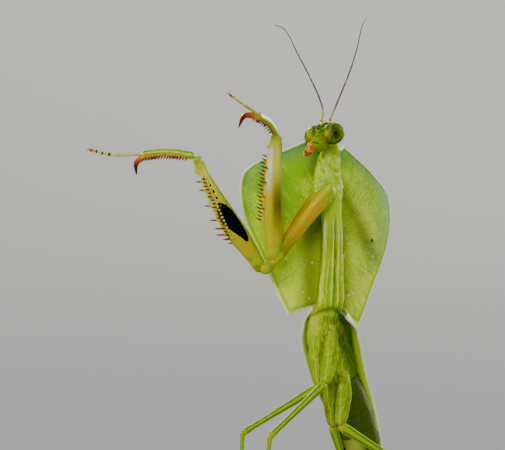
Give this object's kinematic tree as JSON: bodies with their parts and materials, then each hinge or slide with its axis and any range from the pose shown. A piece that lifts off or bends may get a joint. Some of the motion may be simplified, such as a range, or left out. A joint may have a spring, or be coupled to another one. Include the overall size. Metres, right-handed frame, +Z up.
{
  "type": "praying mantis",
  "caption": "Life-size still model of a leaf mantis standing head up on four thin legs, broad hood-like shield behind the chest, spined grasping forelegs raised.",
  "frame": {"origin": "middle of the bounding box at floor level, under the animal", "axes": "+Z up, from the feet to the feelers' tips; the belly side faces -Y; +X is towards the animal's left"},
  "size_m": [0.0636, 0.0502, 0.0811],
  "materials": {
    "shield": "satin, slightly translucent leaf green",
    "body": "satin yellow green",
    "head": "satin olive green",
    "eye": "glossy dark olive with a black spot",
    "mouth": "satin orange red",
    "feeler": "matt grey brown, yellow at the root",
    "abdomen": "satin dark olive green",
    "wing": "satin pale green with a whitish front edge",
    "foreleg_hip": "satin ochre",
    "foreleg": "satin straw yellow",
    "leg": "satin green"
  },
  "bodies": {
    "root": {"pronotum_shield": "shield", "prothorax": "body", "neck": "body", "head": "head", "eye_left": "eye", "eye_right": "eye", "mouthparts": "mouth", "antenna_left": "feeler", "antenna_right": "feeler", "mesothorax": "body", "metathorax": "body", "abdomen_ring_1": "abdomen", "abdomen_ring_2": "abdomen", "abdomen_ring_3": "abdomen", "abdomen_ring_4": "abdomen", "abdomen_ring_5": "abdomen", "abdomen_ring_6": "abdomen", "abdomen_ring_7": "abdomen", "abdomen_ring_8": "abdomen", "cercus_left": "body", "cercus_right": "body", "tegmen_left": "wing", "tegmen_right": "wing", "fore_coxa_left": "foreleg_hip", "fore_trochanter_left": "foreleg", "fore_femur_left": "foreleg", "fore_tibia_left": "foreleg", "fore_tarsus_left": "foreleg", "fore_coxa_right": "foreleg_hip", "fore_trochanter_right": "foreleg", "fore_femur_right": "foreleg", "fore_tibia_right": "foreleg", "fore_tarsus_right": "foreleg", "mid_right_coxa": "leg", "mid_right_femur": "leg", "mid_right_tibia": "leg", "mid_right_tarsus": "leg", "mid_left_coxa": "leg", "mid_left_femur": "leg", "mid_left_tibia": "leg", "mid_left_tarsus": "leg", "hind_right_coxa": "leg", "hind_right_femur": "leg", "hind_right_tibia": "leg", "hind_right_tarsus": "leg", "hind_left_coxa": "leg", "hind_left_femur": "leg", "hind_left_tibia": "leg", "hind_left_tarsus": "leg"}
  },
  "joints": []
}
